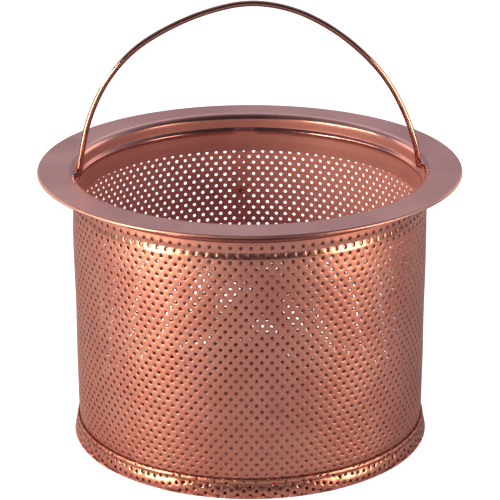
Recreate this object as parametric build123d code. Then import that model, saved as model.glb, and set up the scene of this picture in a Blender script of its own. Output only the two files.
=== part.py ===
from build123d import *
import math
import os

# Lift-out sink drain basket in copper sheet, with a swinging wire bail.
#
# Millimetres.  Z is up and runs down the middle of the basket, z = 0 is the
# underside of the floor, and the bail's pivots lie along X.  The wall and the
# floor are perforated sheet: the solids here are the plain sheets, with no
# perforations, at their true thickness, folds and seams.

# ---- rim: one spun piece, a flat flange that turns down into a plain collar
flange_radius = 72.5
flange_top = 97.0
rim_sheet = 0.5
collar_inner_radius = 59.57
collar_bottom = 83.4
rim_bend = 1.35                 # centreline radius where flange meets collar
locking_ridge_z = 90.75         # rolled ridge that stands in from the collar
locking_ridge_reach = 1.17
locking_ridge_half = 1.15
swage_z = 86.1                  # rolled swage that stands out, through both sheets
swage_reach = 0.9
swage_half = 1.15
ridge_gap_angle = 87.5          # the ridge stops short at the wall's seam
ridge_gap_width = 8.4

# ---- perforated wall: a rolled sheet outside the collar
wall_outer_radius = 60.5
mesh_sheet = 0.4
sheet_gap = 0.03
wall_top = 90.2
seam_angle = 88.6
seam_lap = 4.0
lap_bottom = 8.6
lap_top = 84.2
slit = 0.12

# ---- double seam that joins the wall to the floor
seam_pitch = 0.48               # from the middle of one layer to the next
wall_fold_bottom = 0.65
wall_hook_top = 6.7
floor_hem_top = 7.5
floor_hem_end = 2.2
floor_corner = 0.8

# ---- rivets in the lap seam
rivet_heights = (16.3, 42.3, 68.3)
rivet_shank_radius = 0.75
rivet_hole_radius = 0.8
rivet_head_radius = 1.3
rivet_head_height = 0.5

# ---- bail: one round wire, its two feet turned out through the collar
pivot_z = 94.8
wire_radius = 1.0
pivot_hole_radius = 1.07
foot_reach = 58.3               # middle of the leg, from the basket's axis
stub_end = 61.1
foot_bend = 1.6
bow_step = 14.0                 # degrees between the bow's corners
bow_start = 20.0
bow_radii = (56.7, 56.5, 56.6, 57.4, 58.8, 59.3, 58.4, 58.0, 58.6, 58.6, 58.2)
leg_corner_height = 8.0
leg_corner_reach = 57.2
bow_fill = 0.45                 # share of a run that each corner's arc takes

fold_radius = 0.479             # half of two seam pitches, less a hair


def sheet_section(corners, radii, thickness):
    """Face in the X-Z plane: a sheet of one thickness along rounded corners."""
    route = FilletPolyline(*corners, radius=list(radii))
    outline = offset(route, amount=thickness / 2, side=Side.BOTH, kind=Kind.ARC)
    return Plane.XZ * make_face(outline)


def spun(section, start=0.0, sweep=360.0):
    """Solid of revolution about Z, from the angle start over the angle sweep."""
    solid = revolve(section, axis=Axis.Z, revolution_arc=sweep)
    return solid.rotate(Axis.Z, start)


def bump(radius, height, reach, half, ease, crest):
    """Three corners and radii of a rolled ridge or swage in a straight wall."""
    corners = [(radius, height + half), (radius + reach, height), (radius, height - half)]
    return corners, [ease, crest, ease]


def rim_section(with_ridge):
    middle = collar_inner_radius + rim_sheet / 2
    corners = [(flange_radius - rim_sheet / 2, flange_top - rim_sheet / 2)]
    corners.append((middle, flange_top - rim_sheet / 2))
    radii = [rim_bend]
    if with_ridge:
        ridge, eases = bump(middle, locking_ridge_z, -locking_ridge_reach,
                            locking_ridge_half, 0.7, 0.8)
        corners += ridge
        radii += eases
    swage, eases = bump(middle, swage_z, swage_reach, swage_half, 0.9, 0.8)
    corners += swage
    radii += eases
    corners.append((middle, collar_bottom))
    return sheet_section(corners, radii, rim_sheet)


def make_rim():
    gap = math.degrees(ridge_gap_width / collar_inner_radius)
    start = ridge_gap_angle + gap / 2
    rim = spun(rim_section(True), start, 360 - gap)
    rim += spun(rim_section(False), ridge_gap_angle - gap / 2, gap)
    pivots = Pos(0, 0, pivot_z) * Rot(0, 90, 0) * Cylinder(
        pivot_hole_radius, 2 * (stub_end + 1))
    return rim - pivots


def wall_section():
    middle = wall_outer_radius - mesh_sheet / 2
    # the swage here is the collar's own, moved out square to itself
    step = middle - collar_inner_radius - rim_sheet / 2
    slope = math.atan2(swage_reach, swage_half)
    half = swage_half + step * math.tan(slope / 2)
    reach = half * math.tan(slope)
    swage, eases = bump(middle, swage_z, reach, half, 0.9 - step, 0.8 + step)
    corners = [(middle, wall_top)] + swage
    radii = list(eases)
    hook = middle + 2 * seam_pitch
    corners += [(middle, wall_fold_bottom), (hook, wall_fold_bottom), (hook, wall_hook_top)]
    radii += [fold_radius, fold_radius]
    return sheet_section(corners, radii, mesh_sheet)


def at_seam(shape, angle_offset=0.0):
    """Turn a shape built on +X round to the seam's angle."""
    return shape.rotate(Axis.Z, seam_angle + angle_offset)


def rivet_axis(height):
    return Pos(0, 0, height) * Rot(0, 90, 0)


def make_wall():
    wall = spun(wall_section())
    lap_degrees = math.degrees(seam_lap / wall_outer_radius)
    inner = wall_outer_radius - mesh_sheet
    lap_inner = wall_outer_radius + sheet_gap
    lap_outer = lap_inner + mesh_sheet
    lap_height = lap_top - lap_bottom
    middle_z = (lap_top + lap_bottom) / 2
    lap_face = Pos((lap_inner + lap_outer) / 2, middle_z) * Rectangle(mesh_sheet, lap_height)
    lap = spun(Plane.XZ * lap_face, -lap_degrees / 2, lap_degrees)
    joggle_degrees = math.degrees(mesh_sheet / wall_outer_radius)
    joggle_face = Pos((inner + lap_outer) / 2, middle_z) * Rectangle(lap_outer - inner, lap_height)
    joggle = spun(Plane.XZ * joggle_face, lap_degrees / 2, joggle_degrees)
    wall += at_seam(lap) + at_seam(joggle)
    cut = Pos(wall_outer_radius - mesh_sheet / 2, -slit / 2, wall_top / 2) * Box(
        2 * mesh_sheet + 0.02, slit, wall_top + 2)
    ring_only = Box(6, slit, lap_height)
    slit_top = cut - Pos(wall_outer_radius + 3 + sheet_gap / 2, -slit / 2, middle_z) * ring_only
    wall -= at_seam(slit_top, lap_degrees / 2)
    for height in rivet_heights:
        wall -= at_seam(rivet_axis(height) * Pos(0, 0, wall_outer_radius) * Cylinder(
            rivet_hole_radius, 6))
    return wall


def make_floor():
    outer = wall_outer_radius - mesh_sheet / 2 + 3 * seam_pitch
    hem = outer - 2 * seam_pitch
    corners = [(0, mesh_sheet / 2), (outer, mesh_sheet / 2), (outer, floor_hem_top)]
    corners += [(hem, floor_hem_top), (hem, floor_hem_end)]
    section = sheet_section(corners, [floor_corner, fold_radius, fold_radius], mesh_sheet)
    beyond_axis = Plane.XZ * Pos(-5, 0) * Rectangle(10, 10)
    return spun(section - beyond_axis)


def make_rivets():
    """Small solid rivets, a shank with a low dome on each side of the lap."""
    inner = wall_outer_radius - mesh_sheet
    lap_outer = wall_outer_radius + sheet_gap + mesh_sheet
    dome_radius = (rivet_head_radius ** 2 + rivet_head_height ** 2) / (2 * rivet_head_height)
    rivets = []
    for height in rivet_heights:
        shank_middle = (inner + lap_outer) / 2
        shank = Pos(0, 0, shank_middle) * Cylinder(rivet_shank_radius, lap_outer - inner + 0.3)
        outer_ball = Pos(0, 0, lap_outer + rivet_head_height - dome_radius) * Sphere(dome_radius)
        outer_slab = Pos(0, 0, lap_outer + 0.03 + 1) * Cylinder(3, 2)
        inner_ball = Pos(0, 0, inner - rivet_head_height + dome_radius) * Sphere(dome_radius)
        inner_slab = Pos(0, 0, inner - 0.06 - 1) * Cylinder(3, 2)
        rivet = shank + (outer_ball & outer_slab) + (inner_ball & inner_slab)
        rivets.append(at_seam(rivet_axis(height) * rivet))
    return Compound(children=rivets)


def bail_corners():
    """Corners of the wire's centreline as (x, height above the pivots)."""
    right = [(stub_end, 0), (foot_reach, 0), (leg_corner_reach, leg_corner_height)]
    left = [(-x, z) for x, z in reversed(right)]
    bow = []
    for index, radius in enumerate(bow_radii):
        angle = math.radians(bow_start + index * bow_step)
        bow.append((radius * math.cos(angle), radius * math.sin(angle)))
    return right + bow + left


def bow_arc_radius(before, corner, after):
    """Arc that takes the stated share of the shorter run beside a corner."""
    into = Vector(*corner) - Vector(*before)
    out = Vector(*after) - Vector(*corner)
    turn = math.radians(into.get_angle(out))
    return bow_fill * min(into.length, out.length) / math.tan(turn / 2)


def make_bail():
    corners = bail_corners()
    radii = []
    for before, corner, after in zip(corners, corners[1:], corners[2:]):
        at_foot = corner[1] == 0
        radii.append(foot_bend if at_foot else bow_arc_radius(before, corner, after))
    plane = Plane(origin=(0, 0, pivot_z), x_dir=(1, 0, 0), z_dir=(0, -1, 0))
    path = plane * FilletPolyline(*corners, radius=radii)
    start = Plane(origin=(stub_end, 0, pivot_z), z_dir=(-1, 0, 0))
    wire = sweep(start * Circle(wire_radius), path=path)
    print("bail wire: length", round(path.length, 1), "volume", round(wire.volume, 1),
          "section times length", round(path.length * math.pi * wire_radius ** 2, 1))
    return wire


NODES = {
    "flange_collar": make_rim,
    "perforated_wall": make_wall,
    "perforated_floor": make_floor,
    "seam_rivets": make_rivets,
    "bail_handle": make_bail,
}

os.makedirs("parts", exist_ok=True)
for node, make in NODES.items():
    export_step(make(), f"parts/{node}.step")
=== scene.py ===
import math

import bpy
import numpy as np
from mathutils import Matrix, Vector


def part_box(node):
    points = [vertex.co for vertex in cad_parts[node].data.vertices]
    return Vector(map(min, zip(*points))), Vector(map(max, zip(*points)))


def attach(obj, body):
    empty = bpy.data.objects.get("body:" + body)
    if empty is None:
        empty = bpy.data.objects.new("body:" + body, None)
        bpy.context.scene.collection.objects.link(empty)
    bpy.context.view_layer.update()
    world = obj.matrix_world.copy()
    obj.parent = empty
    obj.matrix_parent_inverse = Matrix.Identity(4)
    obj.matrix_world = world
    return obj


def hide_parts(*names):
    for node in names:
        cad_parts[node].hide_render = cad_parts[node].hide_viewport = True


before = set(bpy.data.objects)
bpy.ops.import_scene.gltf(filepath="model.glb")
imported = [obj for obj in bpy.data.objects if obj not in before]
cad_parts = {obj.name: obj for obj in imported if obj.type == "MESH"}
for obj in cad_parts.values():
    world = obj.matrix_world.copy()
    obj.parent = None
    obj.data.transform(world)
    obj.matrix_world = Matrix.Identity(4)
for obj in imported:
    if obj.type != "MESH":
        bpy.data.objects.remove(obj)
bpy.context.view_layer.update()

MM = 0.001
TURN = 2 * math.pi
rng = np.random.default_rng(7)

# ---------------------------------------------------------------- sizes, millimetres
rim_low, rim_high = (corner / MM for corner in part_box("flange_collar"))
wall_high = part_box("perforated_wall")[1] / MM

FLANGE_RADIUS = 72.48
FLANGE_TOP = rim_high.z
RIM_SHEET = 0.5
COLLAR_MIDDLE = 59.82           # radius of the middle of the collar's sheet
COLLAR_BOTTOM = rim_low.z
RIM_BEND = 2.2
LIP_RADIUS = 0.65               # of the small turned-down lip at the flange's edge
RIDGE_Z = 90.9
RIDGE_DEPTH = 0.92
RIDGE_HALF = 1.45
RIDGE_GAP_ANGLE = math.radians(87.5)
RIDGE_GAP_WIDTH = 8.4
GAP_RIDGE_Z = 91.2              # a low ridge, a little higher up, crosses the gap
GAP_RIDGE_DEPTH = 0.6
GAP_RIDGE_HALF = 0.65
GROOVE_Z = 86.8                 # a groove rolled through sheet and collar locks them
GROOVE_DEPTH = 0.42
GROOVE_ABOVE = 1.5              # its reach upwards, steeper than downwards
GROOVE_BELOW = 2.1
GROOVE_INSIDE = 0.1             # share of it that shows on the collar's inside
CREASE_ROUND = 0.12             # rounds the groove's bottom
PIVOT_Z = 94.8
PIVOT_HOLE_RADIUS = 1.15        # wide enough for the wire, which starts to bend inside it

MESH_SHEET = 0.4
SHEET_GAP = 0.03
WALL_RADIUS = 60.5
WALL_TOP = wall_high.z
WALL_BOTTOM = 0.45

HOLE_PITCH = 3.32               # from hole to hole along a row
ROW_PITCH = 2.17
HOLE_RADIUS = 0.62
DISH_RADIUS = 0.92              # where the sheet starts to dip towards a hole
DISH_DEPTH = 0.075
HOLE_SIDES = 10

COLUMNS_PER_TURN = 113.14       # not whole, so the two layers' holes miss each other
FULL_COLUMNS = 113
SEAM_ANGLE = math.radians(87.78)
SEAM_EDGE = 0.4                 # columns from the end holes to the sheet's cut edges
TOP_EDGE_ROW = 0.9
LAST_ROW = -40
FOOT_EDGE_ROW = -41
# The groove draws the top rows apart, and the rows close up towards the foot.
ROW_KNOTS = (FOOT_EDGE_ROW, LAST_ROW, -37, -34, -33, -2, -1, 0, TOP_EDGE_ROW)
HEIGHT_KNOTS = (WALL_BOTTOM, 2.7, 8.75, 14.32, 16.27, 83.45, 85.95, 88.45, WALL_TOP)

ROW_SAG = 0.8                   # the rows run this much lower at the seam than opposite it

LATTICE_TURN = math.radians(-4.5)     # of the floor's rows of holes

RIVET_HEIGHTS = (16.3, 42.3, 68.3)
RIVET_ANGLE = math.radians(88.6)
RIVET_RADIUS = 1.3
RIVET_HEIGHT = 0.5
SHANK_RADIUS = 0.95
BORE_RADIUS = 0.62              # of the hollow in the rivet's inner end
BORE_DEPTH = 0.7

WIRE_RADIUS = 1.0
STUB_END = 61.1                 # the feet end just outside the collar
FOOT_REACH = 58.3               # and the wire turns up from them inside it
LEG_CORNER = (57.2, 8.0)        # beside and above the pivot
BOW_START = 20.0                # degrees up from the pivots' line
BOW_STEP = 14.0
# The hand-bent bow's distance from the middle of that line, from right to left.
BOW_RADII = (56.7, 56.5, 56.35, 57.15, 58.65, 59.4, 58.3, 58.0, 58.9, 58.8, 58.2)


# ---------------------------------------------------------------- mesh helpers
def mesh_object(name, points, faces, sharp=50.0):
    """Object from points in millimetres, smooth but for edges over the angle sharp."""
    mesh = bpy.data.meshes.new(name)
    mesh.from_pydata((np.asarray(points) * MM).tolist(), [], faces)
    mesh.shade_smooth()
    mesh.set_sharp_from_angle(angle=math.radians(sharp))
    thing = bpy.data.objects.new(name, mesh)
    bpy.context.scene.collection.objects.link(thing)
    return thing


def place_piece(thing, body, slot, material, *nodes):
    """Puts a finished piece on its body, in place of the CAD nodes it stands for."""
    thing.data.materials.append(material)
    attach(thing, body)
    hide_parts(*nodes)


def smooth_bump(distance, half):
    """1 in the middle, 0 from half outwards, with no corners."""
    return np.where(np.abs(distance) < half, np.cos(np.pi * distance / (2 * half)) ** 2, 0.0)


def smooth_step(value, low, high):
    share = np.clip((value - low) / (high - low), 0, 1)
    return share * share * (3 - 2 * share)


def groove(height):
    """How deep the locking groove lies at a height: a crease between two slopes."""
    off = height - GROOVE_Z
    share = off / np.where(off > 0, GROOVE_ABOVE, GROOVE_BELOW)
    share = np.hypot(share, CREASE_ROUND) - CREASE_ROUND
    return GROOVE_DEPTH * np.clip(1 - share, 0, 1) ** 1.2


def waves(angle, height, terms):
    """Slow unevenness of hand-worked sheet: the mean of sines round and up a wall."""
    total = np.zeros_like(angle)
    for around, up, phase in terms:
        total += np.sin(around * angle + up * height + phase)
    return total / len(terms)


# ---------------------------------------------------------------- perforated sheet
SHEET_TOLERANCE = 0.02          # how far a triangle's edge may lie off the bent sheet
GROOVE_TOLERANCE = 0.007        # and the same where the groove runs


def cell_corners():
    """Corners of the cell round one hole, in (columns, rows), anticlockwise from its top."""
    half = HOLE_PITCH / 2
    tip = (half ** 2 + ROW_PITCH ** 2) / (2 * ROW_PITCH ** 2)
    side = (ROW_PITCH ** 2 - half ** 2) / (2 * ROW_PITCH ** 2)
    return [(0, tip), (-0.5, side), (-0.5, -side), (0, -tip), (0.5, -side), (0.5, side)]


CELL_TIP = cell_corners()[0][1]
CELL_SIDE = cell_corners()[5][1]


def ring_strip(outer_angles, inner_angles):
    """Triangles that fill the space between two rings of corners, as index triples.

    Both rings run anticlockwise.  An inner corner's index follows on from the outer ones.
    """
    outer_count = len(outer_angles)
    inner_count = len(inner_angles)
    triangles = []
    outer = inner = 0
    while outer < outer_count or inner < inner_count:
        next_outer = outer_angles[(outer + 1) % outer_count] + TURN * ((outer + 1) // outer_count)
        next_inner = inner_angles[(inner + 1) % inner_count] + TURN * ((inner + 1) // inner_count)
        here_outer = outer % outer_count
        here_inner = outer_count + inner % inner_count
        if inner >= inner_count or (outer < outer_count and next_outer <= next_inner):
            triangles.append((here_outer, (outer + 1) % outer_count, here_inner))
            outer += 1
        else:
            triangles.append((here_outer, outer_count + (inner + 1) % inner_count, here_inner))
            inner += 1
    return triangles


def perforated_lattice(centres, fillers, trim):
    """A closed sheet with a dished hole at each centre, still flat.

    centres and fillers, which are plain polygons, are in (columns, rows).  trim
    moves the cells' corners, to cut an edge straight.  Gives points of (column,
    row, depth from the face, closeness to a hole's edge), and triangles.
    """
    cell = cell_corners()
    centres = np.asarray(centres, float)
    count = len(centres)
    corners = centres[:, None, :] + np.array(cell)[None]
    if trim is not None:
        corners = trim(corners)
    filler_points = np.array([p for polygon in fillers for p in polygon], float).reshape(-1, 2)
    every = np.concatenate([corners.reshape(-1, 2), filler_points])
    unique, index = np.unique(np.round(every, 4), axis=0, return_inverse=True)
    index = index.reshape(-1)
    cell_index = index[:count * 6].reshape(count, 6)
    filler_index = index[count * 6:]

    spin = TURN * (np.arange(HOLE_SIDES) / HOLE_SIDES + 0.25)
    ring = np.stack([np.cos(spin) / HOLE_PITCH, np.sin(spin) / ROW_PITCH], 1)
    drift = rng.normal(0, 0.03, (count, 1, 2)) / np.array([HOLE_PITCH, ROW_PITCH])
    growth = 1 + rng.normal(0, 0.025, (count, 1, 1))
    dip = DISH_DEPTH * (1 + rng.normal(0, 0.12, (count, 1)))
    zero = np.zeros((count, 1))

    def circle(radius, depth, closeness):
        where = centres[:, None, :] + drift + ring[None] * radius * growth
        extra = np.broadcast_to(np.stack([depth, zero + closeness], 2), (count, HOLE_SIDES, 2))
        return np.concatenate([where, extra], 2).reshape(-1, 4)

    def outline(depth):
        extra = np.broadcast_to([depth, 0.0], (len(unique), 2))
        return np.concatenate([unique, extra], 1)

    layers = [
        outline(0.0),
        circle(DISH_RADIUS, zero, 0.1),
        circle((DISH_RADIUS + HOLE_RADIUS) / 2, dip * 0.35, 0.6),
        circle(HOLE_RADIUS, dip, 1.0),
        circle(HOLE_RADIUS, zero + MESH_SHEET, 1.0),
        outline(MESH_SHEET),
    ]
    starts = np.cumsum([0] + [len(layer) for layer in layers])
    face, dish, slope, lip, back_lip, back = starts[:6]

    outer_angles = [math.atan2(y * ROW_PITCH, x * HOLE_PITCH) - TURN / 4 for x, y in cell]
    outer_angles = [angle % TURN for angle in outer_angles]
    inner_angles = list(TURN * np.arange(HOLE_SIDES) / HOLE_SIDES)
    ring_base = (np.arange(count) * HOLE_SIDES)[:, None] + np.arange(HOLE_SIDES)[None]
    triangles = []
    front_corners = np.concatenate([face + cell_index, dish + ring_base], 1)
    back_corners = np.concatenate([back + cell_index, back_lip + ring_base], 1)
    for a, b, c in ring_strip(outer_angles, inner_angles):
        triangles.append(front_corners[:, [a, b, c]])
        triangles.append(back_corners[:, [c, b, a]])
    for upper, lower in ((dish, slope), (slope, lip), (lip, back_lip)):
        for side in range(HOLE_SIDES):
            other = (side + 1) % HOLE_SIDES
            triangles.append(np.stack([upper + ring_base[:, side], upper + ring_base[:, other],
                                       lower + ring_base[:, other]], 1))
            triangles.append(np.stack([upper + ring_base[:, side], lower + ring_base[:, other],
                                       lower + ring_base[:, side]], 1))

    free_edges = set()

    def note_edges(loop):
        for a, b in zip(loop, loop[1:] + loop[:1]):
            if (b, a) in free_edges:
                free_edges.remove((b, a))
            elif a != b:
                free_edges.add((a, b))

    for loop in cell_index.tolist():
        note_edges(loop)
    start = 0
    extra = []
    for polygon in fillers:
        loop = filler_index[start:start + len(polygon)].tolist()
        start += len(polygon)
        note_edges(loop)
        for b, c in zip(loop[1:], loop[2:]):
            extra.append((face + loop[0], face + b, face + c))
            extra.append((back + c, back + b, back + loop[0]))
    for a, b in free_edges:
        extra.append((face + b, face + a, back + a))
        extra.append((face + b, back + a, back + b))
    triangles.append(np.array(sorted(extra)))
    return np.concatenate(layers), np.concatenate(triangles)


def follow_surface(points, triangles, put, tolerance, passes=3):
    """Splits triangles until every edge lies within the tolerance of the surface."""
    for _ in range(passes):
        edges = np.stack([triangles, np.roll(triangles, -1, 1)], 2).reshape(-1, 2)
        unique, number = np.unique(np.sort(edges, 1), axis=0, return_inverse=True)
        number = number.reshape(-1, 3)
        middles = points[unique].mean(1)
        placed = put(points)
        gap = np.linalg.norm(put(middles) - placed[unique].mean(1), axis=1)
        marked = gap > tolerance
        if not marked.any():
            break
        new_index = np.full(len(unique), -1)
        new_index[marked] = len(points) + np.arange(marked.sum())
        points = np.concatenate([points, middles[marked]])
        split = new_index[number]
        count = (split >= 0).sum(1)
        pieces = [triangles[count == 0]]
        for roll in range(3):
            turned = np.roll(triangles, -roll, 1)
            cuts = np.roll(split, -roll, 1)
            one = (count == 1) & (cuts[:, 0] >= 0)
            a, b, c = turned[one].T
            m = cuts[one][:, 0]
            pieces += [np.stack([a, m, c], 1), np.stack([m, b, c], 1)]
            two = (count == 2) & (cuts[:, 2] < 0)
            a, b, c = turned[two].T
            m, n = cuts[two][:, :2].T
            pieces += [np.stack([m, b, n], 1), np.stack([a, m, n], 1), np.stack([a, n, c], 1)]
        a, b, c = triangles[count == 3].T
        m, n, o = split[count == 3].T
        pieces += [np.stack([a, m, o], 1), np.stack([m, b, n], 1)]
        pieces += [np.stack([o, n, c], 1), np.stack([m, n, o], 1)]
        triangles = np.concatenate(pieces)
    return points, triangles


def perforated_sheet(name, put, centres, fillers=(), trim=None, tolerance=SHEET_TOLERANCE):
    """Object of a perforated sheet whose flat points put() lays on their surface."""
    points, triangles = perforated_lattice(centres, fillers, trim)
    points, triangles = follow_surface(points, triangles, put, tolerance)
    sheet = mesh_object(name, put(points), triangles.tolist())
    for label, values in (("hole_edge", points[:, 3]), ("back_face", points[:, 2] / MESH_SHEET)):
        layer = sheet.data.attributes.new(label, "FLOAT", "POINT")
        layer.data.foreach_set("value", values.astype(np.float32))
    return sheet


# ---------------------------------------------------------------- wall
WALL_WAVES = ((2, 0.05, 0.4), (3, -0.04, 2.1), (5, 0.09, 4.0), (9, 0.14, 1.2), (14, -0.2, 3.0))
WALL_UNEVEN = 0.1
EVEN_FOOT = (9, 22)             # heights over which the unevenness sets in above the foot
EVEN_TOP = (76, 83)             # and over which it ends under the groove
SEAM_STEP = (0.72, 1.7)         # columns over which the sheet steps out over its other end
SWELL_HEIGHTS = (0, 7.4, 9.2, 13, 30, 48, 66, 76, 84, 88)
SWELL_KNOTS = (-0.45, -0.45, -0.2, -0.12, 0.05, 0.05, 0.3, 0.36, 0.12, 0.0)


def wall_swell(height):
    """How far the rolled wall swells out past its nominal radius."""
    return np.interp(height, SWELL_HEIGHTS, SWELL_KNOTS)


def put_on_wall(points):
    columns, rows, depth = points[:, 0], points[:, 1], points[:, 2]
    angle = SEAM_ANGLE + columns * TURN / COLUMNS_PER_TURN
    height = np.interp(rows, ROW_KNOTS, HEIGHT_KNOTS)
    held = np.interp(rows, (FOOT_EDGE_ROW, LAST_ROW + 3, 0, TOP_EDGE_ROW), (0, 1, 1, 0))
    height = height - ROW_SAG * held * ((1 + np.sin(angle)) / 2) ** 2
    slope = (groove(height - 0.1) - groove(height + 0.1)) / 0.2
    joggle = (MESH_SHEET + SHEET_GAP) * (1 - smooth_step(columns, *SEAM_STEP))
    calm = smooth_step(height, *EVEN_FOOT) * (1 - smooth_step(height, *EVEN_TOP))
    uneven = WALL_UNEVEN * waves(angle, height, WALL_WAVES) * calm
    lean = 1 / np.sqrt(1 + slope ** 2)
    radius = WALL_RADIUS + wall_swell(height) - groove(height) + joggle + uneven - depth * lean
    up = height + depth * slope * lean
    return np.stack([radius * np.cos(angle), radius * np.sin(angle), up], 1)


WALL_LEFT = -SEAM_EDGE
WALL_RIGHT = FULL_COLUMNS + 0.5 + SEAM_EDGE


def trim_wall(corners):
    """Cuts the cells at the sheet's two upright edges."""
    trimmed = corners.copy()
    trimmed[..., 0] = np.clip(corners[..., 0], WALL_LEFT, WALL_RIGHT)
    return trimmed


def wall_band(first, last):
    """Hole centres of the rows from first down to last, and the plain strips beside them."""
    centres = []
    fillers = []
    end = FULL_COLUMNS + 0.5
    for row in range(first, last - 1, -1):
        odd = row % 2
        centres += [(column + 0.5 * odd, row) for column in range(FULL_COLUMNS + 1)]
        low, high = row - CELL_SIDE, row + CELL_SIDE
        beyond_low, beyond_high = row - CELL_TIP, row + CELL_TIP
        if odd:
            fillers.append([(0, low), (0, high), (WALL_LEFT, beyond_high), (WALL_LEFT, beyond_low)])
        else:
            fillers.append([(end, low), (WALL_RIGHT, beyond_low), (WALL_RIGHT, beyond_high),
                            (end, high)])
    return centres, fillers


def top_strip():
    """Plain polygons between the top row's cells and the sheet's top edge."""
    edge = TOP_EDGE_ROW
    strip = [[(WALL_LEFT, edge), (WALL_LEFT, CELL_SIDE), (0, CELL_TIP), (0, edge)]]
    for column in range(FULL_COLUMNS + 1):
        right = min(column + 1, WALL_RIGHT)
        strip.append([(column, edge), (column, CELL_TIP), (column + 0.5, CELL_SIDE),
                      (right, CELL_TIP), (right, edge)])
    return strip


def foot_strip():
    """Plain polygons between the last row's cells and the sheet's foot edge."""
    edge = FOOT_EDGE_ROW
    tip, side = LAST_ROW - CELL_TIP, LAST_ROW - CELL_SIDE
    strip = [[(WALL_LEFT, edge), (0, edge), (0, tip), (WALL_LEFT, side)]]
    for column in range(FULL_COLUMNS + 1):
        right = min(column + 1, WALL_RIGHT)
        strip.append([(column, edge), (right, edge), (right, tip), (column + 0.5, side),
                      (column, tip)])
    return strip


WALL_BANDS = {"wall_upper": (0, -10), "wall_middle": (-11, -25), "wall_lower": (-26, LAST_ROW)}


def make_wall():
    """The rolled sheet in three bands of rows, which meet edge to edge."""
    bands = []
    for name, (first, last) in WALL_BANDS.items():
        centres, fillers = wall_band(first, last)
        if first == 0:
            fillers += top_strip()
        if last == LAST_ROW:
            fillers += foot_strip()
        tolerance = GROOVE_TOLERANCE if first == 0 else SHEET_TOLERANCE
        bands.append(perforated_sheet(name, put_on_wall, centres, fillers, trim_wall, tolerance))
    return bands


# ---------------------------------------------------------------- floor and its folded hem
def rounded_route(corners, radii, arc_step=10.0):
    """Points of a plane route whose inner corners are rounded to the given radii."""
    corners = [Vector(corner) for corner in corners]
    points = [corners[0]]
    for before, corner, after, radius in zip(corners, corners[1:], corners[2:], radii):
        into = (corner - before).normalized()
        out = (after - corner).normalized()
        turn = math.atan2(into.x * out.y - into.y * out.x, into.dot(out))
        start = corner - into * radius * math.tan(abs(turn) / 2)
        side = math.copysign(1, turn)
        arm = Vector((into.y, -into.x)) * side * radius
        centre = start - arm
        steps = max(2, math.ceil(math.degrees(abs(turn)) / arc_step))
        for step in range(steps + 1):
            angle = turn * step / steps
            points.append(centre + Vector((
                arm.x * math.cos(angle) - arm.y * math.sin(angle),
                arm.x * math.sin(angle) + arm.y * math.cos(angle))))
    points.append(corners[-1])
    return np.array([tuple(point) for point in points])


# Radius and height of the sheet's outer face: under the floor, up over the bead
# that swells round the foot, in at its neck, and over its top down to the wall.
HEM_CORNERS = ((0, 0), (61.4, 0), (61.85, 2.5), (60.93, 5.6), (61.08, 6.3), (60.85, 7.15),
               (60.08, 7.15), (60.06, 1.5))
HEM_RADII = (1.5, 6.0, 0.5, 0.35, 0.4, 0.4)
HEM_START = 60.4                # path length at which the floor turns up
HEM_TOP = 68.6                  # and that at the top of the fold
HEM_WAVES = ((61, 0.3, 0.7), (73, -0.4, 2.9), (88, 0.2, 5.1), (41, 0.5, 1.9))
CREASE_WAVES = ((37, 0.0, 3.3), (52, 0.0, 0.9), (83, 0.0, 4.4))
HEM_WRINKLE = 0.1
CREASE_SHIFT = 0.45             # how far the fold's crease strays along the sheet
BLANK_EDGE = 1.8                # from the outermost holes to the end of the route
DISC_EDGE = 2.2                 # from where the floor turns up to the disc's last holes

hem_route = rounded_route(HEM_CORNERS, HEM_RADII)
hem_steps = np.diff(hem_route, axis=0)
hem_lengths = np.concatenate([[0], np.cumsum(np.hypot(*hem_steps.T))])
hem_middles = (hem_lengths[1:] + hem_lengths[:-1]) / 2
hem_headings = np.unwrap(np.arctan2(hem_steps[:, 1], hem_steps[:, 0]))


def put_on_floor(points):
    along = points[:, 0] * HOLE_PITCH
    across = points[:, 1] * ROW_PITCH
    path = np.hypot(along, across)
    angle = np.arctan2(along, across) + LATTICE_TURN
    turned = smooth_step(path, HEM_START + 1.5, HEM_TOP - 2.5)
    tucked = smooth_step(path, HEM_TOP - 0.3, HEM_TOP + 1.5)
    path = path + CREASE_SHIFT * turned * (1 - tucked) * waves(angle, path * 0, CREASE_WAVES)
    radius = np.interp(path, hem_lengths, hem_route[:, 0])
    height = np.interp(path, hem_lengths, hem_route[:, 1])
    heading = np.interp(path, hem_middles, hem_headings)
    wrinkle = HEM_WRINKLE * turned * (1 - tucked) * waves(angle, path, HEM_WAVES)
    inward = points[:, 2] - wrinkle
    radius = radius - inward * np.sin(heading)
    height = height + inward * np.cos(heading)
    return np.stack([radius * np.cos(angle), radius * np.sin(angle), height], 1)


def floor_cells():
    """Hole centres of the flat blank, as far out as its sheet reaches."""
    reach = hem_lengths[-1] - BLANK_EDGE
    rows = int(reach / ROW_PITCH) + 1
    columns = int(reach / HOLE_PITCH) + 1
    cells = []
    for row in range(-rows, rows + 1):
        for column in range(-columns, columns + 1):
            centre = (column + 0.5 * (row % 2), row)
            if math.hypot(centre[0] * HOLE_PITCH, centre[1] * ROW_PITCH) < reach:
                cells.append(centre)
    return np.array(cells)


def make_floor():
    """The floor disc, and its turned-up edge in two halves, which meet edge to edge."""
    cells = floor_cells()
    reach = np.hypot(cells[:, 0] * HOLE_PITCH, cells[:, 1] * ROW_PITCH)
    disc = reach < HEM_START - DISC_EDGE
    left = cells[:, 1] < 0
    return [
        perforated_sheet("floor_disc", put_on_floor, cells[disc]),
        perforated_sheet("hem_left", put_on_floor, cells[~disc & left]),
        perforated_sheet("hem_right", put_on_floor, cells[~disc & ~left]),
    ]


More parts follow.
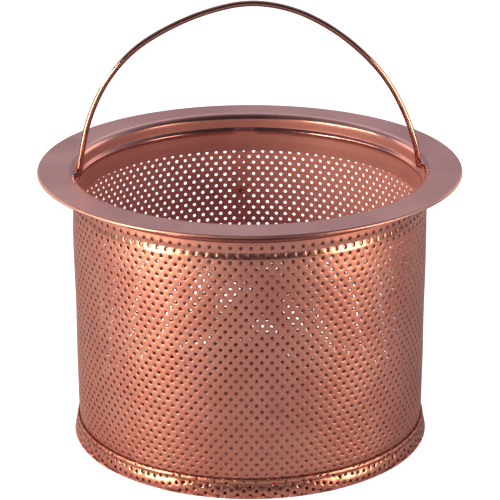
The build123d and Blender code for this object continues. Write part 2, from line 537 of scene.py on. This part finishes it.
# ---------------------------------------------------------------- flange and collar
COLLAR_STEP = 0.21              # between points down the collar, past the ridge and the groove
COARSE_STEP = 1.0               # degrees between sections of the rim
FINE_STEP = 0.2                 # and across the gap in the ridge
FINE_FROM, FINE_TO = 80, 95
RIDGE_END = 1.0                 # half the length in which the ridge runs out at the gap


def rim_middle(ridge_z, ridge_depth, ridge_half):
    """Radius and height of the middle of the rim's sheet, from the flange's edge down."""
    top = FLANGE_TOP - RIM_SHEET / 2
    lip_centre = FLANGE_RADIUS - RIM_SHEET / 2 - LIP_RADIUS
    lip_turn = np.radians(np.linspace(-8, 90, 10))[:-1]
    lip = np.stack([lip_centre + LIP_RADIUS * np.cos(lip_turn),
                    top - LIP_RADIUS + LIP_RADIUS * np.sin(lip_turn)], 1)
    flat = np.linspace(lip_centre, COLLAR_MIDDLE + RIM_BEND, 6)[:-1]
    bend = np.radians(np.linspace(90, 180, 10))
    centre = COLLAR_MIDDLE + RIM_BEND
    upper = np.linspace(top - RIM_BEND, RIDGE_Z + RIDGE_HALF, 5)[1:-1]
    lower = np.arange(RIDGE_Z + RIDGE_HALF, COLLAR_BOTTOM, -COLLAR_STEP)
    height = np.concatenate([upper, lower, [COLLAR_BOTTOM]])
    radius = COLLAR_MIDDLE - ridge_depth * smooth_bump(height - ridge_z, ridge_half)
    flange = np.stack([flat, flat * 0 + top], 1)
    corner = np.stack([centre + RIM_BEND * np.cos(bend), top - RIM_BEND + RIM_BEND * np.sin(bend)], 1)
    return np.concatenate([lip, flange, corner, np.stack([radius, height], 1)])


def round_over(start, end, out, depth=0.14, steps=7):
    """Points round a sheet's edge, from one face to the other, through out."""
    middle, half = (start + end) / 2, (start - end) / 2
    angles = np.radians(np.linspace(0, 180, steps))
    return [middle + half * math.cos(a) + out * depth * (math.sin(a) - 1) for a in angles]


def rim_outline(ridge_z, ridge_depth, ridge_half):
    """Closed outline of the rim's section, with its two edges slightly rounded."""
    middle = rim_middle(ridge_z, ridge_depth, ridge_half)
    heading = np.gradient(middle, axis=0)
    heading /= np.linalg.norm(heading, axis=1)[:, None]
    upward = np.stack([heading[:, 1], -heading[:, 0]], 1) * RIM_SHEET / 2
    face = middle + upward
    face[:, 0] -= GROOVE_INSIDE * groove(middle[:, 1])
    back = middle - upward
    back[:, 0] -= groove(middle[:, 1])
    back = back[::-1]
    top_edge = round_over(back[-1], face[0], heading[0] * -1)
    foot_edge = round_over(face[-1], back[0], heading[-1])
    return np.array([*face[1:-1], *foot_edge, *back[1:-1], *top_edge])


def make_rim():
    """Flange and collar: a section swept round, with a lower ridge across the gap in its ridge."""
    coarse = np.arange(0, 360, COARSE_STEP)
    fine = np.arange(FINE_FROM, FINE_TO, FINE_STEP)
    degrees = np.unique(np.concatenate([coarse, fine]).round(3))
    angles = np.radians(degrees)
    off = np.abs(angles - RIDGE_GAP_ANGLE) * COLLAR_MIDDLE
    half_gap = RIDGE_GAP_WIDTH / 2
    share = smooth_step(off, half_gap - RIDGE_END, half_gap + RIDGE_END)
    in_gap = rim_outline(GAP_RIDGE_Z, GAP_RIDGE_DEPTH, GAP_RIDGE_HALF)
    ridged = rim_outline(RIDGE_Z, RIDGE_DEPTH, RIDGE_HALF)
    points = []
    for angle, ridge in zip(angles, share):
        section = in_gap + ridge * (ridged - in_gap)
        points.append(np.stack([section[:, 0] * math.cos(angle), section[:, 0] * math.sin(angle),
                                section[:, 1]], 1))
    count = len(ridged)
    faces = []
    for turn in range(len(angles)):
        here, there = turn * count, (turn + 1) % len(angles) * count
        for side in range(count):
            other = (side + 1) % count
            faces.append((here + side, here + other, there + other, there + side))
    rim = mesh_object("rim", np.concatenate(points), faces, sharp=40)
    drill_pivots(rim)
    return rim


def drill_pivots(rim):
    """Cuts the two holes that the bail's feet turn in."""
    for side in (-1, 1):
        bpy.ops.mesh.primitive_cylinder_add(vertices=48, radius=PIVOT_HOLE_RADIUS * MM,
                                            depth=4 * MM,
                                            location=(side * COLLAR_MIDDLE * MM, 0, PIVOT_Z * MM),
                                            rotation=(0, math.radians(90), 0))
        drill = bpy.context.object
        cut = rim.modifiers.new("pivot", "BOOLEAN")
        cut.operation = "DIFFERENCE"
        cut.solver = "EXACT"
        cut.object = drill
        depsgraph = bpy.context.evaluated_depsgraph_get()
        drilled = bpy.data.meshes.new_from_object(rim.evaluated_get(depsgraph))
        rim.modifiers.clear()
        rim.data = drilled
        bpy.data.objects.remove(drill)
    rim.data.shade_smooth()
    rim.data.set_sharp_from_angle(angle=math.radians(40))


# ---------------------------------------------------------------- rivets
def make_rivet(number, height):
    """Domed head outside, the shank, and on the inside its hollow end rolled over."""
    surface = WALL_RADIUS + wall_swell(height)
    outside = surface + MESH_SHEET + SHEET_GAP
    inside = surface - MESH_SHEET
    dome = np.radians(np.linspace(0, 90, 7))
    section = [(RIVET_RADIUS * math.sin(a), outside + RIVET_HEIGHT * math.cos(a)) for a in dome]
    section += [(SHANK_RADIUS, outside), (SHANK_RADIUS, inside)]
    half = (RIVET_RADIUS - BORE_RADIUS) / 2
    roll = np.radians(np.linspace(0, 180, 9))
    section += [(BORE_RADIUS + half + half * math.cos(a), inside - RIVET_HEIGHT * math.sin(a))
                for a in roll]
    section += [(BORE_RADIUS * 0.9, inside + BORE_DEPTH), (0, inside + BORE_DEPTH)]
    sides = 28
    points = [(0, 0, section[0][1])]
    ring = np.arange(sides) * TURN / sides
    for radius, reach in section[1:-1]:
        points += [(radius * math.cos(a), radius * math.sin(a), reach) for a in ring]
    points.append((0, 0, section[-1][1]))
    faces = []
    rings = len(section) - 2
    for side in range(sides):
        other = (side + 1) % sides
        faces.append((0, 1 + side, 1 + other))
        for step in range(rings - 1):
            upper, lower = 1 + step * sides, 1 + (step + 1) * sides
            faces.append((upper + side, lower + side, lower + other, upper + other))
        last = 1 + (rings - 1) * sides
        faces.append((len(points) - 1, last + other, last + side))
    rivet = mesh_object(f"rivet_{number}", points, faces, sharp=60)
    # marks the hollow's wall and floor, which the material paints dark as shade
    hollow = np.zeros(len(points), np.float32)
    hollow[-1 - 2 * sides:] = 1
    layer = rivet.data.attributes.new("hollow", "FLOAT", "POINT")
    layer.data.foreach_set("value", hollow)
    out = Vector((math.cos(RIVET_ANGLE), math.sin(RIVET_ANGLE), 0))
    turn = out.to_track_quat("Z", "Y").to_matrix().to_4x4()
    turn.translation = (0, 0, height * MM)
    rivet.data.transform(turn)
    return rivet


# ---------------------------------------------------------------- bail
def make_bail():
    """One round wire: its control points run from foot to foot over the bow."""
    leg = [(STUB_END, 0), (FOOT_REACH, 0), (FOOT_REACH - 0.25, 1.9), LEG_CORNER]
    bow = []
    for index, radius in enumerate(BOW_RADII):
        angle = math.radians(BOW_START + index * BOW_STEP)
        bow.append((radius * math.cos(angle), radius * math.sin(angle)))
    route = leg + bow + [(-x, z) for x, z in reversed(leg)]
    curve = bpy.data.curves.new("bail", "CURVE")
    curve.dimensions = "3D"
    curve.bevel_depth = WIRE_RADIUS * MM
    curve.bevel_resolution = 6
    curve.resolution_u = 16
    curve.use_fill_caps = True
    spline = curve.splines.new("NURBS")
    spline.points.add(len(route) - 1)
    for point, (x, z) in zip(spline.points, route):
        point.co = (x * MM, 0, (PIVOT_Z + z) * MM, 1)
    spline.order_u = 3
    spline.use_endpoint_u = True
    wire = bpy.data.objects.new("bail", curve)
    bpy.context.scene.collection.objects.link(wire)
    return wire


# ---------------------------------------------------------------- materials
# Heights in millimetres, as pairs between which a soft limit rises or falls.
LOW_SHADE_RISE = (1.5, 8)           # painted shade: the wall's inside is darker low down
LOW_SHADE_FALL = (40, 52)
FOLD_SHADE_RISE = (6.9, 7.1)          # painted shade: dark line in the crease over the hem's fold
FOLD_SHADE_FALL = (7.2, 7.6)
NECK_SHADE_RISE = (5.1, 5.5)          # and a slightly fainter line of painted shade in its neck
NECK_SHADE_FALL = (5.6, 6.0)
BEAD_FALL = (4.5, 5.5)          # the bead under it is burnished
BURNISH = 0.12                  # how much less rough that makes it
INSIDE_METALLIC = 0.1           # the wall's inside is dull with use
INSIDE_SHARE = 0.8              # of the collar's inner colour in its mix


def new_metal(name):
    material = bpy.data.materials.new(name)
    material.use_nodes = True
    tree = material.node_tree
    shader = tree.nodes["Principled BSDF"]
    shader.inputs["Metallic"].default_value = 1.0
    return material, tree, shader


def noise(tree, vector, scale, detail):
    node = tree.nodes.new("ShaderNodeTexNoise")
    node.inputs["Scale"].default_value = scale
    node.inputs["Detail"].default_value = detail
    tree.links.new(vector, node.inputs["Vector"])
    return node.outputs["Fac"]


def math_node(tree, operation, first, second):
    node = tree.nodes.new("ShaderNodeMath")
    node.operation = operation
    for socket, value in zip(node.inputs, (first, second)):
        if isinstance(value, (int, float)):
            socket.default_value = value
        else:
            tree.links.new(value, socket)
    return node.outputs[0]


def spread(tree, value, low, high, to_low, to_high):
    """Maps the range low to high of a value onto another range, smoothly."""
    node = tree.nodes.new("ShaderNodeMapRange")
    node.interpolation_type = "SMOOTHSTEP"
    tree.links.new(value, node.inputs["Value"])
    for socket, number in zip(("From Min", "From Max", "To Min", "To Max"),
                              (low, high, to_low, to_high)):
        node.inputs[socket].default_value = number
    return node.outputs["Result"]


def between(tree, height, rise, fall, most=1.0):
    """Most inside a range of heights and 0 outside, with soft limits in millimetres."""
    return math_node(tree, "MULTIPLY",
                     spread(tree, height, rise[0] * MM, rise[1] * MM, 0, 1),
                     spread(tree, height, fall[0] * MM, fall[1] * MM, most, 0))


def blend_colour(tree, factor, first, second):
    node = tree.nodes.new("ShaderNodeMix")
    node.data_type = "RGBA"
    colour_inputs = [socket for socket in node.inputs if socket.type == "RGBA"]
    for socket, value in zip([node.inputs[0], *colour_inputs], (factor, first, second)):
        if isinstance(value, (int, float)):
            socket.default_value = value
        elif isinstance(value, tuple):
            socket.default_value = (*value, 1)
        else:
            tree.links.new(value, socket)
    return next(socket for socket in node.outputs if socket.type == "RGBA")


def bump(tree, height, strength, distance):
    node = tree.nodes.new("ShaderNodeBump")
    node.inputs["Strength"].default_value = strength
    node.inputs["Distance"].default_value = distance
    tree.links.new(height, node.inputs["Height"])
    return node.outputs["Normal"]


def object_place(tree):
    return tree.nodes.new("ShaderNodeTexCoord").outputs["Object"]


def attribute(tree, name):
    node = tree.nodes.new("ShaderNodeAttribute")
    node.attribute_name = name
    return node.outputs["Fac"]


def from_axis(tree, parts):
    """Distance from the basket's axis, from a split place."""
    x, y = parts.outputs[0], parts.outputs[1]
    squared = math_node(tree, "ADD", math_node(tree, "MULTIPLY", x, x),
                        math_node(tree, "MULTIPLY", y, y))
    return math_node(tree, "SQRT", squared, 0.0)


def mesh_copper():
    """Satin perforated sheet: mottled, with painted shade round its holes, along its top edge and in
    the hem's fold and neck.
    """
    material, tree, shader = new_metal("copper_mesh")
    place = object_place(tree)
    parts = tree.nodes.new("ShaderNodeSeparateXYZ")
    tree.links.new(place, parts.inputs[0])
    z = parts.outputs[2]
    cloudy = noise(tree, place, 60, 4)
    fine = noise(tree, place, 900, 2)
    outer = blend_colour(tree, spread(tree, cloudy, 0.35, 0.65, 0, 1),
                         (0.85, 0.345, 0.275), (0.92, 0.415, 0.335))
    # painted shade: the inside of the sheet is darker in a band low down the wall
    low_shade = between(tree, z, LOW_SHADE_RISE, LOW_SHADE_FALL)
    inner = blend_colour(tree, low_shade, (0.72, 0.32, 0.33), (0.66, 0.31, 0.31))
    back = attribute(tree, "back_face")
    colour = blend_colour(tree, spread(tree, back, 0.7, 1.0, 0, 1), outer, inner)
    tree.links.new(spread(tree, back, 0.7, 1.0, 1, INSIDE_METALLIC), shader.inputs["Metallic"])

    # painted shade: the sheet's top 0.25 mm darkens, a dark line where it stands off the collar
    sheet_top_shade = spread(tree, z, (WALL_TOP - 0.25) * MM, WALL_TOP * MM, 0, 0.8)
    # painted shade: dark lines in the hem's fold and its neck
    fold_shade = math_node(tree, "MAXIMUM", between(tree, z, FOLD_SHADE_RISE, FOLD_SHADE_FALL, 0.9),
                      between(tree, z, NECK_SHADE_RISE, NECK_SHADE_FALL, 0.8))
    # painted shade: darker towards each hole's lip and in its bore
    hole_shade = spread(tree, attribute(tree, "hole_edge"), 0.6, 1.0, 0, 0.38)
    painted_shade = math_node(tree, "MAXIMUM", math_node(tree, "MAXIMUM", sheet_top_shade, fold_shade), hole_shade)
    # painted shade: the marks above darken the copper towards a dark brown
    colour = blend_colour(tree, painted_shade, colour, (0.16, 0.085, 0.09))
    tree.links.new(colour, shader.inputs["Base Color"])

    slope_foot = GROOVE_Z - GROOVE_BELOW
    rolled = between(tree, z, (slope_foot - 0.5, slope_foot), (GROOVE_Z, GROOVE_Z + 0.3))
    bead = spread(tree, z, BEAD_FALL[0] * MM, BEAD_FALL[1] * MM, 1, 0)
    burnished = math_node(tree, "MAXIMUM", rolled, bead)
    rough = math_node(tree, "ADD", spread(tree, fine, 0.3, 0.7, 0.33, 0.41),
                      math_node(tree, "MULTIPLY", painted_shade, 0.15))
    rough = math_node(tree, "SUBTRACT", rough, math_node(tree, "MULTIPLY", burnished, BURNISH))
    tree.links.new(rough, shader.inputs["Roughness"])
    tree.links.new(bump(tree, fine, 0.05, 0.00006), shader.inputs["Normal"])
    return material


def rim_copper():
    """Spun sheet: fine rings round the axis, a cloudy, tarnished tone, painted shade under the
    flange's lip and on the collar behind the wall, a polished ridge and bend.
    """
    material, tree, shader = new_metal("copper_rim")
    place = object_place(tree)
    parts = tree.nodes.new("ShaderNodeSeparateXYZ")
    tree.links.new(place, parts.inputs[0])
    z = parts.outputs[2]
    radius = from_axis(tree, parts)
    rings = tree.nodes.new("ShaderNodeCombineXYZ")
    tree.links.new(radius, rings.inputs[0])
    tree.links.new(z, rings.inputs[1])
    spun = noise(tree, rings.outputs[0], 2600, 2)
    cloudy = noise(tree, place, 45, 4)
    outer = blend_colour(tree, spread(tree, cloudy, 0.35, 0.65, 0, 1),
                         (0.68, 0.35, 0.35), (0.74, 0.42, 0.41))
    inside = spread(tree, radius, (COLLAR_MIDDLE - 0.1) * MM, COLLAR_MIDDLE * MM, INSIDE_SHARE, 0)
    colour = blend_colour(tree, inside, outer, (0.54, 0.25, 0.27))

    # painted shade: a shadow under the flange's turned-down lip, and on the collar's outside where
    # the wall covers it
    flange_edge = FLANGE_RADIUS - 0.8
    outer_edge = spread(tree, radius, flange_edge * MM, (flange_edge + 0.2) * MM, 0, 1)
    under = spread(tree, z, (FLANGE_TOP - 0.95) * MM, (FLANGE_TOP - 0.7) * MM, 0.85, 0)
    outside = spread(tree, radius, COLLAR_MIDDLE * MM, (COLLAR_MIDDLE + 0.2) * MM, 0, 1)
    covered = spread(tree, z, (WALL_TOP - 0.1) * MM, (WALL_TOP + 0.1) * MM, 0.85, 0)
    rim_shade = math_node(tree, "MAXIMUM", math_node(tree, "MULTIPLY", outer_edge, under),
                        math_node(tree, "MULTIPLY", outside, covered))
    colour = blend_colour(tree, rim_shade, colour, (0.2, 0.1, 0.1))
    tree.links.new(colour, shader.inputs["Base Color"])

    ridge = between(tree, z, (RIDGE_Z - 0.6, RIDGE_Z - 0.1), (RIDGE_Z + 1.1, RIDGE_Z + 1.4))
    bend_in, bend_out = COLLAR_MIDDLE + 0.9, COLLAR_MIDDLE + 2.3
    bend = math_node(tree, "MULTIPLY",
                     spread(tree, radius, bend_in * MM, bend_out * MM, 1, 0),
                     spread(tree, z, (FLANGE_TOP - 2.0) * MM, (FLANGE_TOP - 1.5) * MM, 0, 1))
    polished = math_node(tree, "MAXIMUM", ridge, bend)
    dull = math_node(tree, "MULTIPLY", inside, math_node(tree, "SUBTRACT", 1.0, polished))
    tree.links.new(spread(tree, dull, 0, INSIDE_SHARE, 1, 0.5), shader.inputs["Metallic"])
    rough = math_node(tree, "ADD", spread(tree, cloudy, 0.3, 0.7, 0.36, 0.44),
                      math_node(tree, "MULTIPLY", spun, 0.06))
    rough = math_node(tree, "ADD", rough, math_node(tree, "MULTIPLY", dull, 0.1))
    rough = math_node(tree, "SUBTRACT", rough, math_node(tree, "MULTIPLY", polished, 0.2))
    tree.links.new(rough, shader.inputs["Roughness"])
    tree.links.new(bump(tree, spun, 0.25, 0.00003), shader.inputs["Normal"])
    return material


def wire_copper(name, roughness, colours):
    """Drawn wire or a rivet: nearly smooth, a little cloudy, and with painted shade in a rivet's
    hollow.
    """
    material, tree, shader = new_metal(name)
    place = object_place(tree)
    cloudy = noise(tree, place, 120, 3)
    colour = blend_colour(tree, spread(tree, cloudy, 0.35, 0.65, 0, 1), *colours)
    # painted shade: the rivet's hollow is nearly black
    colour = blend_colour(tree, attribute(tree, "hollow"), colour, (0.03, 0.02, 0.03))
    tree.links.new(colour, shader.inputs["Base Color"])
    rough = spread(tree, cloudy, 0.3, 0.7, roughness - 0.04, roughness + 0.05)
    tree.links.new(rough, shader.inputs["Roughness"])
    fine = noise(tree, place, 1500, 2)
    tree.links.new(bump(tree, fine, 0.15, 0.00003), shader.inputs["Normal"])
    return material


def camera_split(tree, seen, mirrored, output):
    """Shows one shader to the camera, and another in what the copper mirrors."""
    rays = tree.nodes.new("ShaderNodeLightPath")
    mix = tree.nodes.new("ShaderNodeMixShader")
    tree.links.new(rays.outputs["Is Camera Ray"], mix.inputs[0])
    tree.links.new(mirrored, mix.inputs[1])
    tree.links.new(seen, mix.inputs[2])
    tree.links.new(mix.outputs[0], tree.nodes[output].inputs[0])


def floor_white():
    """Pale floor: a soft grey to the copper and white to the eye, but for under the basket."""
    material = bpy.data.materials.new("pale_floor")
    material.use_nodes = True
    tree = material.node_tree
    grey = tree.nodes["Principled BSDF"]
    grey.inputs["Base Color"].default_value = (0.49, 0.59, 0.77, 1)
    grey.inputs["Roughness"].default_value = 0.8
    parts = tree.nodes.new("ShaderNodeSeparateXYZ")
    tree.links.new(object_place(tree), parts.inputs[0])
    glow = tree.nodes.new("ShaderNodeEmission")
    tree.links.new(spread(tree, from_axis(tree, parts), 59 * MM, 60.5 * MM, 0, 1),
                   glow.inputs["Strength"])
    white = tree.nodes.new("ShaderNodeAddShader")
    tree.links.new(grey.outputs[0], white.inputs[0])
    tree.links.new(glow.outputs[0], white.inputs[1])
    camera_split(tree, white.outputs[0], grey.outputs[0], "Material Output")
    return material


# ---------------------------------------------------------------- light and camera
def soft_light(name, place, target, width, height, power, colour):
    light = bpy.data.lights.new(name, "AREA")
    light.shape = "RECTANGLE"
    light.size = width
    light.size_y = height
    light.energy = power
    light.color = colour
    lamp = bpy.data.objects.new(name, light)
    lamp.location = place
    lamp.rotation_euler = (Vector(target) - Vector(place)).to_track_quat("-Z", "Y").to_euler()
    bpy.context.scene.collection.objects.link(lamp)


VIEW_TURN = 4.5                 # degrees that the camera stands to the left of straight in front
VIEW_DISTANCE = 0.7791
VIEW_HEIGHT = 0.3496
VIEW_PITCH = 20.003
VIEW_ROLL = -0.09
VIEW_HEADING = VIEW_TURN + 0.003
VIEW_LENS = 172.45

WARM = (1, 0.76, 0.48)
COOL = (0.95, 0.97, 1)
FRONT_GLOW = 0.05               # the room is dark behind the camera
BACK_GLOW = 0.345


def around(bearing, distance, height):
    """Point at a bearing from the camera's side of the basket, positive to its right."""
    angle = math.radians(bearing - VIEW_TURN)
    return (distance * math.sin(angle), -distance * math.cos(angle), height)


def set_stage():
    bpy.ops.mesh.primitive_plane_add(size=6)
    ground = bpy.context.object
    ground.name = "ground"
    ground.data.materials.append(floor_white())


def set_lights():
    """Warm boxes at the sides, a strip that streaks the rim's ridge, a cool box behind."""
    low, middle, high = (0, 0, 0.05), (0, 0, 0.06), (0, 0, 0.09)
    soft_light("left_box", around(-57, 0.75, 0.21), low, 0.20, 0.42, 4.0, WARM)
    for side in (-1, 1):
        soft_light("rear_box", around(side * 132, 0.9, 0.3), low, 0.5, 0.5, 1.0, WARM)
    soft_light("left_strip", around(-70, 0.80, 0.42), high, 0.85, 0.07, 3.7, WARM)
    soft_light("right_box", around(62, 0.80, 0.18), middle, 0.28, 0.34, 2.9, WARM)
    soft_light("back_box", around(180, 0.7, 0.75), low, 0.9, 0.5, 0.8, COOL)


def set_world():
    """A dim room in what the copper mirrors, and a pale background to the eye."""
    world = bpy.data.worlds.new("studio")
    world.use_nodes = True
    tree = world.node_tree
    dim = tree.nodes["Background"]
    dim.inputs["Color"].default_value = (0.9, 0.93, 1.0, 1)
    way = tree.nodes.new("ShaderNodeSeparateXYZ")
    tree.links.new(tree.nodes.new("ShaderNodeTexCoord").outputs["Generated"], way.inputs[0])
    tree.links.new(spread(tree, way.outputs[1], -0.5, 0.4, FRONT_GLOW, BACK_GLOW),
                   dim.inputs["Strength"])
    bright = tree.nodes.new("ShaderNodeBackground")
    bright.inputs["Strength"].default_value = 1.0
    camera_split(tree, bright.outputs[0], dim.outputs[0], "World Output")
    bpy.context.scene.world = world


def set_camera():
    camera = bpy.data.objects.new("camera", bpy.data.cameras.new("camera"))
    camera.data.lens = VIEW_LENS
    camera.data.sensor_width = 36
    turn = Matrix.Rotation(math.radians(-VIEW_HEADING), 4, "Z")
    pitch = Matrix.Rotation(math.radians(90 - VIEW_PITCH), 4, "X")
    roll = Matrix.Rotation(math.radians(VIEW_ROLL), 4, "Z")
    place = Matrix.Translation(around(0, VIEW_DISTANCE, VIEW_HEIGHT))
    camera.matrix_world = place @ turn @ pitch @ roll
    bpy.context.scene.collection.objects.link(camera)
    bpy.context.scene.camera = camera


# ---------------------------------------------------------------- build
set_camera()
set_stage()
set_lights()
set_world()
bpy.context.scene.view_settings.view_transform = "Standard"

sheet_material = mesh_copper()
for band in make_wall():
    place_piece(band, "basket", "copper_mesh", sheet_material, "perforated_wall")
for part in make_floor():
    place_piece(part, "basket", "copper_mesh", sheet_material, "perforated_floor")
place_piece(make_rim(), "basket", "copper_rim", rim_copper(), "flange_collar")
rivet_material = wire_copper("copper_rivet", 0.32, ((0.7, 0.33, 0.25), (0.8, 0.42, 0.32)))
for number, height in enumerate(RIVET_HEIGHTS):
    rivet = make_rivet(number, height - ROW_SAG)
    place_piece(rivet, "basket", "copper_rivet", rivet_material, "seam_rivets")
wire_material = wire_copper("copper_wire", 0.09, ((0.72, 0.36, 0.29), (0.82, 0.44, 0.36)))
place_piece(make_bail(), "bail", "copper_wire", wire_material, "bail_handle")
